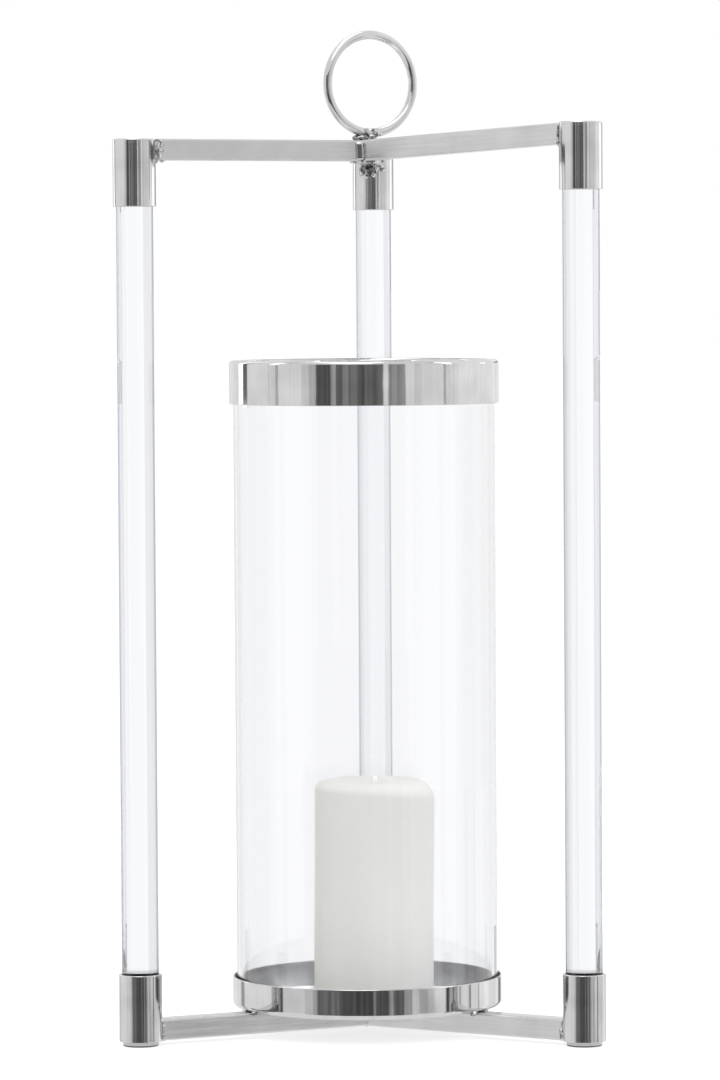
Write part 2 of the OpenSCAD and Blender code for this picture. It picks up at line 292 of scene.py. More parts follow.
def add_node(tree, kind, values=None, links=None, **settings):
    """Adds one node, sets its attributes and input values, and links sockets into its inputs."""
    node = tree.nodes.new(kind)
    for name, value in settings.items():
        setattr(node, name, value)
    for name, value in (values or {}).items():
        node.inputs[name].default_value = value
    for name, socket in (links or {}).items():
        tree.links.new(socket, node.inputs[name])
    return node


def new_material(name):
    """A material with a Principled shader joined to its output: (material, tree, shader)."""
    material = bpy.data.materials.new(name)
    material.use_nodes = True
    tree = material.node_tree
    tree.nodes.clear()
    shader = add_node(tree, "ShaderNodeBsdfPrincipled")
    add_node(tree, "ShaderNodeOutputMaterial", links={"Surface": shader.outputs[0]})
    return material, tree, shader


def parts_of(material):
    """The tree of a finished material and its Principled shader, to add nodes in front of it."""
    tree = material.node_tree
    return tree, next(node for node in tree.nodes if node.type == "BSDF_PRINCIPLED")


print("a mid grey, #808080, is", round(linear("#808080")[0], 3), "in linear light")

# %% [markdown]
# ## Studio
# Polished metal has almost no colour of its own: what one sees in it is the room. Round the
# lantern stands an even white surround that also lights the wax and the floor. Behind the
# camera there is a dark gap with a few paler uprights in it, which draws the dark upright
# bands on every ferrule, on the tray and on the rim band, and a narrow dark gap at the left
# edge of the backdrop. These panels are seen only in reflections. Three large soft panels
# light the wax, the right one most, and a long soft box hangs overhead.

# %% World and floor
world = bpy.data.worlds.new("white_surround")
bpy.context.scene.world = world
world.use_nodes = True
world.node_tree.nodes["Background"].inputs["Color"].default_value = (1, 1, 1, 1)
world.node_tree.nodes["Background"].inputs["Strength"].default_value = 1.0


def stage_object(name, points, faces, material):
    """A stage mesh: part of the studio and not of the lantern."""
    mesh = bpy.data.meshes.new(name)
    mesh.from_pydata(points, [], faces)
    mesh.materials.append(material)
    obj = bpy.data.objects.new(name, mesh)
    bpy.context.scene.collection.objects.link(obj)
    return obj


# A sheet of white laminate, lit from below as well as above, so that shadows stay pale.
floor_material, floor_tree, floor_shader = new_material("white_laminate_floor")
floor_grain = add_node(floor_tree, "ShaderNodeTexNoise", {"Scale": 40.0, "Detail": 4.0})
floor_tint = add_node(floor_tree, "ShaderNodeMapRange", {"To Min": 0.29, "To Max": 0.31},
                      {"Value": floor_grain.outputs[0]})
floor_tree.links.new(floor_tint.outputs[0], floor_shader.inputs["Base Color"])
floor_shader.inputs["Roughness"].default_value = 0.7
floor_shader.inputs["Specular IOR Level"].default_value = 0.1
floor_shader.inputs["Emission Color"].default_value = (1, 1, 1, 1)
floor_shader.inputs["Emission Strength"].default_value = 0.72
floor_reach = 30.0
floor_corners = [(floor_reach * x, floor_reach * y, 0)
                 for x, y in ((-1, -1), (1, -1), (1, 1), (-1, 1))]
floor = stage_object("floor", floor_corners, [(0, 1, 2, 3)], floor_material)
floor.visible_glossy = floor.visible_transmission = False
print("floor:", 2 * floor_reach, "m wide")

# %% Studio panels
panel_distance = 2.8


def panel(name, start, end, glow, low, high, seen_by=("glossy",)):
    """Upright curved panel between two angles, in degrees to the right of the camera.

    Its points are (d sin a, -d cos a, z) with a measured from the camera's own azimuth. It
    glows like hanging cloth, a dark one with folds, and is seen only by the named kinds of
    ray: glossy ones leave polished metal, transmission ones have passed through a clear
    piece, and diffuse ones light matt surfaces.
    """
    count = max(2, int(abs(end - start) / 4))
    angle = camera_azimuth + np.radians(np.linspace(start, end, count))
    wall = np.stack([panel_distance * np.sin(angle), -panel_distance * np.cos(angle), 0 * angle],
                    -1)
    points = np.concatenate([wall + (0, 0, low), wall + (0, 0, high)]).tolist()
    n = len(angle)
    material, tree, shader = new_material(name + "_fabric")
    shader.inputs["Base Color"].default_value = (0, 0, 0, 1)
    shader.inputs["Specular IOR Level"].default_value = 0
    shader.inputs["Emission Color"].default_value = (1, 1, 1, 1)
    place = add_node(tree, "ShaderNodeTexCoord").outputs["Object"]
    hung = add_node(tree, "ShaderNodeMapping", {"Scale": (9, 9, 1.6)}, {"Vector": place})
    folds = add_node(tree, "ShaderNodeTexNoise", {"Scale": 1.0, "Detail": 4.0},
                     {"Vector": hung.outputs[0]})
    depth = 0.55 if glow < 0.5 else 0.05
    strength = add_node(tree, "ShaderNodeMapRange",
                        {"From Min": 0.25, "From Max": 0.75,
                         "To Min": glow * (1 - depth), "To Max": glow * (1 + depth)},
                        {"Value": folds.outputs[0]})
    tree.links.new(strength.outputs[0], shader.inputs["Emission Strength"])
    obj = stage_object(name, points, [(k, k + 1, n + k + 1, n + k) for k in range(n - 1)], material)
    obj.visible_camera = False
    obj.visible_shadow = False
    obj.visible_diffuse = "diffuse" in seen_by
    obj.visible_transmission = "transmission" in seen_by
    obj.visible_glossy = "glossy" in seen_by
    return obj


# Each row holds the start and end angle, the glow, and the lowest and highest point in metres.
# Those heights, from the top down: the ceiling; the part of the room that the upper arms see;
# `upper` and `lower`, where the side panels end, so that the metal above and below the glass
# sees them and the glass itself sees the plain white room between; and the table.
top, arms_top, arms_bottom, upper, middle, lower = 4.0, 0.75, 0.42, 0.3, 0.05, -0.1
low_sides, bottom = -0.25, -2.5
table, table_rim, table_edge, table_foot = -0.345, -0.3535, -0.3585, -0.46
gap_top, gap_step, gap_bottom = 1.25, 0.44, -1.0
metal_panels = (
    # the wall behind the lantern, a bright strip and a narrow gap at its left edge
    (-180, -160, 0.86, bottom, top), (-133, -125, 2.4, upper, top),
    (-124.5, -117, 0.16, upper, top), (88, 117, 1.14, upper, top),
    (117, 150, 1.12, upper, arms_bottom), (150, 165, 1.0, upper, arms_bottom),
    (117, 126, 2.3, arms_bottom, arms_top), (126, 146, 1.12, arms_bottom, arms_top),
    (146, 162, 0.2, arms_bottom, arms_top), (117, 160, 1.12, arms_top, top),
    (165, 178, 0.9, upper, top), (50, 78, 0.82, gap_step, 0.8),
    # the dark gap behind the camera, with paler uprights in it
    (-54, -47, 0.82, middle, gap_top), (-47, -40.6, 0.62, middle, gap_top),
    (-40.6, -27.8, 0.12, middle, gap_top), (-27.8, -23.4, 0.4, middle, gap_top),
    (-23.4, -18, 0.15, middle, gap_top), (-18, -5, 0.24, middle, gap_top),
    (-5, 16, 0.16, middle, gap_top), (20.5, 28, 0.43, middle, gap_top),
    (28, 35, 0.4, middle, gap_top), (43, 49.6, 0.68, gap_step, gap_top),
    (43, 49.6, 0.86, middle, gap_step),
    # the same, seen in the lower parts
    (-137, -130, 0.4, bottom, low_sides), (-78, -54, 0.82, table, lower),
    (-54, -47, 0.7, gap_bottom, middle), (-47, -43, 0.5, gap_bottom, middle),
    (-43, -24, 0.2, gap_bottom, middle), (-24, 5, 0.1, gap_bottom, middle),
    (5, 7, 0.35, gap_bottom, middle), (7, 18, 0.1, gap_bottom, middle),
    (18, 22, 0.36, gap_bottom, middle), (22, 31, 0.13, gap_bottom, middle),
    (31, 38, 0.4, gap_bottom, middle), (38, 44, 0.8, gap_bottom, middle),
    (44, 52, 0.55, table, lower), (52, 58, 0.74, table, lower),
    (69.5, 77, 0.22, gap_bottom, lower), (84, 86, 0.5, gap_bottom, lower),
    (96, 98.5, 0.4, gap_bottom, lower), (108, 110, 0.5, gap_bottom, lower),
    (110, 118, 1.1, bottom, lower), (118, 127, 1.25, bottom, lower),
    (127, 150, 1.05, bottom, lower), (150, 161, 0.3, bottom, low_sides),
    # the table and its edge, seen in the lower left arm
    (45, 78, 0.42, table_foot, table_edge), (45, 78, 0.7, table_edge, table_rim),
    (45, 78, 0.32, table_rim, -0.3455))
clear_panels = (
    # darker sides of the room, seen at the edges of the rods and of the glass
    (-157, -126, 0.85, bottom, top), (-126, -96, 0.62, bottom, top),
    (148, 165, 0.94, bottom, top), (134, 148, 0.84, bottom, top),
    (118, 134, 0.7, bottom, top), (96, 118, 0.62, bottom, top))
light_panels = ((-75, 55, 2.8, 1.1, 3.4), (55, 135, 4.7, 0.7, 3.4), (-135, -75, 3.2, 0.7, 3.4))
for k, settings in enumerate(metal_panels):
    panel(f"metal_panel_{k}", *settings)
for k, settings in enumerate(clear_panels):
    panel(f"clear_panel_{k}", *settings, seen_by=("transmission",))
# Glass holds back part of the light, so wax lifted out of it would burn out to plain white.
# Each soft light is therefore two: one that reaches the wax through the glass, and a weaker
# one for wax in the open.
behind_glass, in_the_open = 1.125, 0.72
for k, (start, end, glow, low, high) in enumerate(light_panels):
    panel(f"soft_light_{k}", start, end, glow * behind_glass, low, high, seen_by=("transmission",))
    panel(f"open_soft_light_{k}", start, end, glow * in_the_open, low, high, seen_by=("diffuse",))

# The overhead soft box: a long one above the lantern, the white line along upper edges.
overhead, tree, shader = new_material("overhead_soft_box_fabric")
weave = add_node(tree, "ShaderNodeTexNoise", {"Scale": 3.0})
strength = add_node(tree, "ShaderNodeMapRange", {"To Min": 2.5, "To Max": 2.8},
                    {"Value": weave.outputs[0]})
tree.links.new(strength.outputs[0], shader.inputs["Emission Strength"])
shader.inputs["Emission Color"].default_value = (1, 1, 1, 1)
shader.inputs["Base Color"].default_value = (0, 0, 0, 1)
box_left, box_right, box_front, box_back, box_height = -0.95, 0.35, -3.6, 1.5, 3.0
box_corners = [(box_left, box_front, box_height), (box_right, box_front, box_height),
               (box_right, box_back, box_height), (box_left, box_back, box_height)]
soft_box = stage_object("overhead_soft_box", box_corners, [(0, 1, 2, 3)], overhead)
soft_box.visible_camera = soft_box.visible_shadow = False
print("studio panels:", len(metal_panels), "for metal,", len(clear_panels), "for clear pieces,",
      len(light_panels), "soft lights and one overhead box")

# %% [markdown]
# ## Nickel plate
# The frame, ferrules, ring, tray and rim band are steel, polished on a mop and plated with
# bright nickel. The eye gets near-mirror reflections with a hint of softness, very slightly
# wavy because thin sheet and tube are never dead flat. The mop leaves lines along a tube and
# round a turned part. Those are a few hundredths of a millimetre apart, too fine to show, so
# they are drawn coarser, faint enough to be read as a soft streak. The arms see their own
# ferrules close by, and their mirror is the softest. The mop can't reach into the tray, which
# stays satin inside.

# %% Nickel plate
def nickel_plate(name, colour, line_gap, lines_along, line_depth, wave_depth, roughness):
    """Bright nickel over polished steel, with mop lines and slow waves from the UV map.

    Lines are noise stretched forty times along u or v, line_depth high. Waves are noise some
    16 mm long and wave_depth high. Both heights are in metres.
    """
    stretch, wave_length = 40, 16 * mm
    material, tree, shader = new_material(name)
    uv = add_node(tree, "ShaderNodeUVMap", uv_map="UVMap").outputs[0]
    across, along = 1 / line_gap, 1 / (stretch * line_gap)
    scale = (across, along, 1) if lines_along == "v" else (along, across, 1)
    stretched = add_node(tree, "ShaderNodeMapping", {"Scale": scale}, {"Vector": uv})
    lines = add_node(tree, "ShaderNodeTexNoise", {"Scale": 1.0, "Detail": 2.0},
                     {"Vector": stretched.outputs[0]}, noise_dimensions="2D")
    slow = add_node(tree, "ShaderNodeTexNoise", {"Scale": 1 / wave_length, "Detail": 1.0},
                    {"Vector": uv}, noise_dimensions="2D")
    haze = add_node(tree, "ShaderNodeMapRange",
                    {"From Min": 0.35, "From Max": 0.75,
                     "To Min": roughness, "To Max": roughness * 1.9},
                    {"Value": lines.outputs[0]})
    tree.links.new(haze.outputs[0], shader.inputs["Roughness"])
    streak = add_node(tree, "ShaderNodeMath", {1: 0.5}, {0: lines.outputs[0], 2: slow.outputs[0]},
                      operation="MULTIPLY_ADD")
    tint = add_node(tree, "ShaderNodeMapRange",
                    {"From Min": 0.45, "From Max": 1.05, "To Min": 0.0, "To Max": 1.0},
                    {"Value": streak.outputs[0]})
    plate = add_node(tree, "ShaderNodeMix", {6: linear(colour), 7: linear("#C6C6C6")},
                     {0: tint.outputs[0]}, data_type="RGBA")
    tree.links.new(plate.outputs[2], shader.inputs["Base Color"])
    fine = add_node(tree, "ShaderNodeBump", {"Strength": 1.0, "Distance": line_depth},
                    {"Height": lines.outputs[0]})
    bent = add_node(tree, "ShaderNodeBump", {"Strength": 1.0, "Distance": wave_depth},
                    {"Height": slow.outputs[0], "Normal": fine.outputs[0]})
    tree.links.new(bent.outputs[0], shader.inputs["Normal"])
    shader.inputs["Metallic"].default_value = 1.0
    return material


nickel_tube = nickel_plate("nickel_plate_on_drawn_tube", "#CECECE", 1.2 * mm, "v",
                           0.0008 * mm, 0.012 * mm, 0.15)
nickel_turned = nickel_plate("nickel_plate_on_turned_ferrule", "#D4D4D4", 0.9 * mm, "v",
                             0.001 * mm, 0.008 * mm, 0.06)
nickel_scuffed = nickel_plate("nickel_plate_on_scuffed_ferrule", "#D4D4D4", 0.8 * mm, "v",
                              0.0022 * mm, 0.012 * mm, 0.08)
nickel_sheet = nickel_plate("nickel_plate_on_spun_sheet", "#D4D4D4", 1.6 * mm, "v",
                            0.0016 * mm, 0.026 * mm, 0.05)
nickel_pan = nickel_plate("nickel_plate_on_spun_pan", "#D4D4D4", 1.6 * mm, "v",
                          0.0016 * mm, 0.026 * mm, 0.05)
nickel_wire = nickel_plate("nickel_plate_on_bent_wire", "#D4D4D4", 0.8 * mm, "v",
                           0.0006 * mm, 0.004 * mm, 0.07)

# Inside, the pan is plated but not mopped. Roughness rises by `satin_haze` wherever the
# distance from the lantern's axis, the length of (x, y), is less than that of the pan's wall.
satin_haze = 0.3
tree, shader = parts_of(nickel_pan)
mopped = shader.inputs["Roughness"].links[0].from_socket
place = add_node(tree, "ShaderNodeTexCoord").outputs["Object"]
flat = add_node(tree, "ShaderNodeVectorMath", {1: (1, 1, 0)}, {0: place}, operation="MULTIPLY")
span = add_node(tree, "ShaderNodeVectorMath", links={0: flat.outputs[0]}, operation="LENGTH")
pan_r = size_of("tray")[3][0] / 2
inside = add_node(tree, "ShaderNodeMapRange",
                  {"From Min": pan_r - 0.9 * mm, "From Max": pan_r - 0.5 * mm,
                   "To Min": satin_haze, "To Max": 0.0}, {"Value": span.outputs["Value"]})
satin = add_node(tree, "ShaderNodeMath", links={0: mopped, 1: inside.outputs[0]}, operation="ADD")
tree.links.new(satin.outputs[0], shader.inputs["Roughness"])
print("nickel finishes:", [material.name for material in bpy.data.materials
                           if material.name.startswith("nickel_plate")])

# %% [markdown]
# ## Weld metal and plain steel
# The plating also covers the welds, but the mop can't reach into them: the metal is patchy,
# burnt grey in the hollows and bright on the crests, with small pits. A darker copy of the
# same finish is painted on the knot under the back arm, as painted shade, and on two lumps at
# the ring's foot. The plugs inside the lower ferrules are never seen once the rods are glued
# in, and stay as sawn steel with a dull zinc coat. Their meshes come from the CAD, which has no
# UV map, so their pattern reads Object coordinates.

# %% Weld metal and zinc-plated plugs
weld_metal, tree, shader = new_material("nickel_plate_on_weld_metal")
place = add_node(tree, "ShaderNodeTexCoord").outputs["Object"]
grain = add_node(tree, "ShaderNodeTexNoise", {"Scale": 1 / (2.4 * mm), "Detail": 3.0},
                 {"Vector": place})
pits = add_node(tree, "ShaderNodeTexVoronoi", {"Scale": 1 / (1.6 * mm)}, {"Vector": place})
crests = add_node(tree, "ShaderNodeMapRange", {"From Min": 0.42, "From Max": 0.58},
                  {"Value": grain.outputs[0]})
haze = add_node(tree, "ShaderNodeMapRange", {"To Min": 0.34, "To Max": 0.16},
                {"Value": crests.outputs[0]})
tree.links.new(haze.outputs[0], shader.inputs["Roughness"])
tint = add_node(tree, "ShaderNodeMix", {6: linear("#7C7C7C"), 7: linear("#DADADA")},
                {0: crests.outputs[0]}, data_type="RGBA")
tree.links.new(tint.outputs[2], shader.inputs["Base Color"])
grainy = add_node(tree, "ShaderNodeBump", {"Strength": 1.0, "Distance": 0.02 * mm},
                  {"Height": grain.outputs[0]})
pitted = add_node(tree, "ShaderNodeBump", {"Strength": 1.0, "Distance": 0.012 * mm},
                  {"Height": pits.outputs[0], "Normal": grainy.outputs[0]})
tree.links.new(pitted.outputs[0], shader.inputs["Normal"])
shader.inputs["Metallic"].default_value = 1.0

# A darker copy of the weld finish. On the knot under the back arm its darkness is painted shade;
# two lumps at the ring's foot wear it too.
painted_dark_weld = weld_metal.copy()
painted_dark_weld.name = "nickel_plate_on_painted_dark_weld_metal"
darker_tint = next(node for node in painted_dark_weld.node_tree.nodes if node.type == "MIX")
darker_tint.inputs[6].default_value = linear("#3E3E3E")
darker_tint.inputs[7].default_value = linear("#A2A2A2")

zinc_plug, tree, shader = new_material("zinc_plate_on_sawn_steel")
place = add_node(tree, "ShaderNodeTexCoord").outputs["Object"]
sawn = add_node(tree, "ShaderNodeMapping", {"Scale": (1 / (0.8 * mm), 60, 60)}, {"Vector": place})
grooves = add_node(tree, "ShaderNodeTexNoise", {"Scale": 1.0, "Detail": 2.0},
                   {"Vector": sawn.outputs[0]})
tint = add_node(tree, "ShaderNodeMix", {6: linear("#8E9091"), 7: linear("#B4B5B3")},
                {0: grooves.outputs[0]}, data_type="RGBA")
tree.links.new(tint.outputs[2], shader.inputs["Base Color"])
dull = add_node(tree, "ShaderNodeMapRange", {"To Min": 0.35, "To Max": 0.55},
                {"Value": grooves.outputs[0]})
tree.links.new(dull.outputs[0], shader.inputs["Roughness"])
cut = add_node(tree, "ShaderNodeBump", {"Strength": 1.0, "Distance": 0.02 * mm},
               {"Height": grooves.outputs[0]})
tree.links.new(cut.outputs[0], shader.inputs["Normal"])
shader.inputs["Metallic"].default_value = 1.0
for side in SIDES:
    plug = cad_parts[side + "_bottom_plug"]
    plug.data.materials.clear()
    plug.data.materials.append(zinc_plug)
print("weld metal:", weld_metal.name, "and", painted_dark_weld.name, "- plugs:", zinc_plug.name)

# %% [markdown]
# ## Clear acrylic and glass
# The rods are cast acrylic, polished: colourless in the middle, with a thin cool grey line
# along each edge that is painted shade, standing for the darker room seen at the edge. The
# hurricane glass is soda-lime, a little cooler and darker near its outline, partly because one
# looks through more of it there and partly as painted shade for the darker room. Both are clear
# dielectrics, with the index of refraction of the real material. The deeper tone at the
# outline is painted through Layer Weight, whose Facing output is 0 where the surface faces the
# viewer and 1 at the outline. Each rod is glued into its lower ferrule, and a soft grey band is
# painted at the mouth: partly the glue, partly painted shade from the ferrule's dark bore.

# %% Clear materials
def clear_material(name, ior, mirror, surfaces, tones, smear_size):
    """Transmitting shader whose tint follows Facing through a ramp of (position, hex) tones.

    A tone is what the eye sees through the whole piece; the darker tones at high Facing are
    painted shade at the outline. The sight line crosses several surfaces, so each of them takes
    the tone to the power 1 / surfaces. A faint smear pattern, smear_size metres across, moves
    the roughness by a hundredth.
    """
    material, tree, shader = new_material(name)
    facing = add_node(tree, "ShaderNodeLayerWeight", {"Blend": 0.5}).outputs["Facing"]
    ramp = add_node(tree, "ShaderNodeValToRGB", links={"Fac": facing})
    stops = ramp.color_ramp.elements
    while len(stops) < len(tones):
        stops.new(0.5)
    for stop, (position, tone) in zip(stops, tones):
        stop.position = position
        stop.color = tuple(v ** (1 / surfaces) for v in linear(tone))
    tree.links.new(ramp.outputs[0], shader.inputs["Base Color"])
    place = add_node(tree, "ShaderNodeTexCoord").outputs["Object"]
    smear = add_node(tree, "ShaderNodeTexNoise", {"Scale": 1 / smear_size, "Detail": 3.0},
                     {"Vector": place})
    rough = add_node(tree, "ShaderNodeMapRange",
                     {"From Min": 0.45, "From Max": 0.8, "To Min": 0.0, "To Max": 0.012},
                     {"Value": smear.outputs[0]})
    tree.links.new(rough.outputs[0], shader.inputs["Roughness"])
    shader.inputs["Transmission Weight"].default_value = 1.0
    shader.inputs["IOR"].default_value = ior
    shader.inputs["Specular IOR Level"].default_value = mirror
    return material


# Painted shade: the darker stops near Facing 1 paint the dark line along each rod's edge and the
# darker outline of the glass, which on the glass is partly the longer path through it.
acrylic = clear_material("cast_acrylic_polished", 1.49, 0.15, 2,
                         ((0.0, "#F8FAFD"), (0.13, "#F7F9FD"), (0.3, "#EEF3FB"), (0.5, "#E5EBF6"),
                          (0.58, "#CFD7E6"), (0.66, "#666C83"), (1.0, "#4E546B")), 30 * mm)
clear_glass = clear_material("soda_lime_glass_drawn", 1.52, 0.1, 4,
                             ((0.0, "#F6F7FC"), (0.4, "#F7F9FD"), (0.6, "#F3F5FB"),
                              (0.85, "#E6EAF2"), (1.0, "#D8DEE8")), 60 * mm)

# Glue and painted shade: a soft grey band at the mouth, three quarters grey up to 0.8 mm above it
# and gone at 2.2 mm, partly the glue and partly painted shade from the ferrule's dark bore.
tree, shader = parts_of(acrylic)
tone = shader.inputs["Base Color"].links[0].from_socket
mouth = size_of("left_bottom_ferrule")[1][2]
place = add_node(tree, "ShaderNodeTexCoord").outputs["Object"]
height = add_node(tree, "ShaderNodeSeparateXYZ", links={0: place}).outputs["Z"]
glue_and_bore_shade = add_node(tree, "ShaderNodeMapRange",
                {"From Min": mouth + 0.8 * mm, "From Max": mouth + 2.2 * mm,
                 "To Min": 0.75, "To Max": 0.0}, {"Value": height})
glue_and_shade_band = add_node(tree, "ShaderNodeMix", {7: linear("#A9A9AA")}, {0: glue_and_bore_shade.outputs[0], 6: tone},
                  data_type="RGBA")
tree.links.new(glue_and_shade_band.outputs[2], shader.inputs["Base Color"])
print("clear materials: acrylic", acrylic.name, "and glass", clear_glass.name)

# %% [markdown]
# ## Wax, cotton and pads
# The pillar is cast wax: warm off-white, softly mottled where it cooled unevenly, with a satin
# skin and a little light travelling under it. Its colour is painted lightest at the foot,
# which the tray's rim shades, and painted slightly greyer upwards, which holds down the light
# on the shoulder. The wick is braided cotton dipped in the same wax. The feet are pale vinyl
# pads, their lowest millimetre painted dark as a contact shadow.

# %% Wax, cotton and vinyl
wax, tree, shader = new_material("cast_candle_wax")
place = add_node(tree, "ShaderNodeTexCoord").outputs["Object"]
poured = add_node(tree, "ShaderNodeMapping", {"Scale": (1, 1, 0.35)}, {"Vector": place})
clouds = add_node(tree, "ShaderNodeTexNoise",
                  {"Scale": 1 / (24 * mm), "Detail": 3.0, "Roughness": 0.45},
                  {"Vector": poured.outputs[0]})
speckle = add_node(tree, "ShaderNodeTexNoise", {"Scale": 1 / (2.2 * mm), "Detail": 2.0},
                   {"Vector": place})
tint = add_node(tree, "ShaderNodeMix", {6: linear("#F2F1E9"), 7: linear("#FDFDF9")},
                {0: clouds.outputs[0]}, data_type="RGBA")
fleck = add_node(tree, "ShaderNodeMapRange",
                 {"From Min": 0.55, "From Max": 0.8, "To Min": 0.0, "To Max": 0.25},
                 {"Value": speckle.outputs[0]})
mottled = add_node(tree, "ShaderNodeMix", {7: linear("#FBFBF9")},
                   {0: fleck.outputs[0], 6: tint.outputs[2]}, data_type="RGBA")
# Painted light: by height the wax is painted whitest at the foot, in the shade of the tray's rim,
# and greyer towards the lit shoulder.
wax_height = add_node(tree, "ShaderNodeSeparateXYZ", links={0: place}).outputs["Z"]
climbed = add_node(tree, "ShaderNodeMapRange", {"From Min": 20 * mm, "From Max": 140 * mm},
                   {"Value": wax_height})
painted_light_by_height = add_node(tree, "ShaderNodeValToRGB", links={"Fac": climbed.outputs[0]})
painted_light_by_height.color_ramp.elements[0].color = linear("#FFFFFF")
painted_light_by_height.color_ramp.elements[1].color = linear("#EEEEEE")
painted_light_by_height.color_ramp.elements.new(0.22).color = linear("#FAFAFA")
height_painted_wax = add_node(tree, "ShaderNodeMix", {0: 1.0}, {6: mottled.outputs[2], 7: painted_light_by_height.outputs[0]},
                data_type="RGBA", blend_type="MULTIPLY")
tree.links.new(height_painted_wax.outputs[2], shader.inputs["Base Color"])
skin = add_node(tree, "ShaderNodeMapRange", {"To Min": 0.42, "To Max": 0.6},
                {"Value": speckle.outputs[0]})
tree.links.new(skin.outputs[0], shader.inputs["Roughness"])
soft = add_node(tree, "ShaderNodeBump", {"Strength": 1.0, "Distance": 0.12 * mm},
                {"Height": speckle.outputs[0]})
uneven = add_node(tree, "ShaderNodeBump", {"Strength": 1.0, "Distance": 0.6 * mm},
                  {"Height": clouds.outputs[0], "Normal": soft.outputs[0]})
tree.links.new(uneven.outputs[0], shader.inputs["Normal"])
shader.inputs["Subsurface Weight"].default_value = 0.25
shader.inputs["Subsurface Radius"].default_value = (1.0, 0.85, 0.65)
shader.inputs["Subsurface Scale"].default_value = 4 * mm
shader.inputs["IOR"].default_value = 1.44

cotton, tree, shader = new_material("waxed_cotton_braid")
place = add_node(tree, "ShaderNodeTexCoord").outputs["Object"]
fibres = add_node(tree, "ShaderNodeTexNoise", {"Scale": 1 / (0.35 * mm), "Detail": 3.0},
                  {"Vector": place})
tint = add_node(tree, "ShaderNodeMix", {6: linear("#EFEDE6"), 7: linear("#FAF9F6")},
                {0: fibres.outputs[0]}, data_type="RGBA")
tree.links.new(tint.outputs[2], shader.inputs["Base Color"])
fuzz = add_node(tree, "ShaderNodeBump", {"Strength": 1.0, "Distance": 0.08 * mm},
                {"Height": fibres.outputs[0]})
tree.links.new(fuzz.outputs[0], shader.inputs["Normal"])
shader.inputs["Roughness"].default_value = 0.7

vinyl, tree, shader = new_material("moulded_vinyl_pad")
place = add_node(tree, "ShaderNodeTexCoord").outputs["Object"]
moulded = add_node(tree, "ShaderNodeTexNoise", {"Scale": 1 / (0.9 * mm), "Detail": 2.0},
                   {"Vector": place})
tint = add_node(tree, "ShaderNodeMix", {6: linear("#B4B4B3"), 7: linear("#C6C6C5")},
                {0: moulded.outputs[0]}, data_type="RGBA")
# Painted shade: the lowest millimetre of each pad is painted dark, a contact shadow.
pad_height = add_node(tree, "ShaderNodeSeparateXYZ", links={0: place}).outputs["Z"]
painted_contact_shadow = add_node(tree, "ShaderNodeMapRange",
                {"From Min": 0.8 * mm, "From Max": 1.0 * mm, "To Min": 1.0, "To Max": 0.0},
                {"Value": pad_height})
contact_shadowed_pad = add_node(tree, "ShaderNodeMix", {7: linear("#4C4C4C")},
                 {0: painted_contact_shadow.outputs[0], 6: tint.outputs[2]}, data_type="RGBA")
tree.links.new(contact_shadowed_pad.outputs[2], shader.inputs["Base Color"])
matt = add_node(tree, "ShaderNodeMapRange", {"To Min": 0.3, "To Max": 0.45},
                {"Value": moulded.outputs[0]})
tree.links.new(matt.outputs[0], shader.inputs["Roughness"])
stipple = add_node(tree, "ShaderNodeBump", {"Strength": 1.0, "Distance": 0.03 * mm},
                   {"Height": moulded.outputs[0]})
tree.links.new(stipple.outputs[0], shader.inputs["Normal"])
print("materials:", len(bpy.data.materials))

# %% [markdown]
# ## Posts
# Each post is a stack on one vertical axis: a pad, a lower ferrule, the clear rod, an upper
# ferrule and its cap. All of them are turned shapes, so each is an outline carried round the
# axis. A CAD mesh is faceted, and a mirror finish shows every facet; the outline's small arcs
# give polished edges that catch a thin line of light.

# %% Posts
def tube_outline(inner, outer, low, high, radius):
    """Closed outline of a tube's wall with all four edges rounded."""
    return rounded_outline([(inner, low), (outer, low), (outer, high), (inner, high)],
                           [radius] * 4, steps=5)


def disc_outline(outer, low, high, low_radius, high_radius):
    """Open outline of a solid disc or rod, from axis to axis."""
    return rounded_outline([(0, low), (outer, low), (outer, high), (0, high)],
                           [0, low_radius, high_radius, 0], closed=False, steps=6)


def cap_outline(outer, spigot, low, high):
    """Open outline of a cap: a disc with a rounded upper edge on a spigot."""
    rim = high - cap_disc_h
    return rounded_outline(
        [(0, low), (spigot, low), (spigot, rim), (outer, rim), (outer, high), (0, high)],
        [0, 0.2 * mm, 0.05 * mm, 0.03 * mm, cap_edge_r, 0], closed=False, steps=6, ease=0.03 * mm)


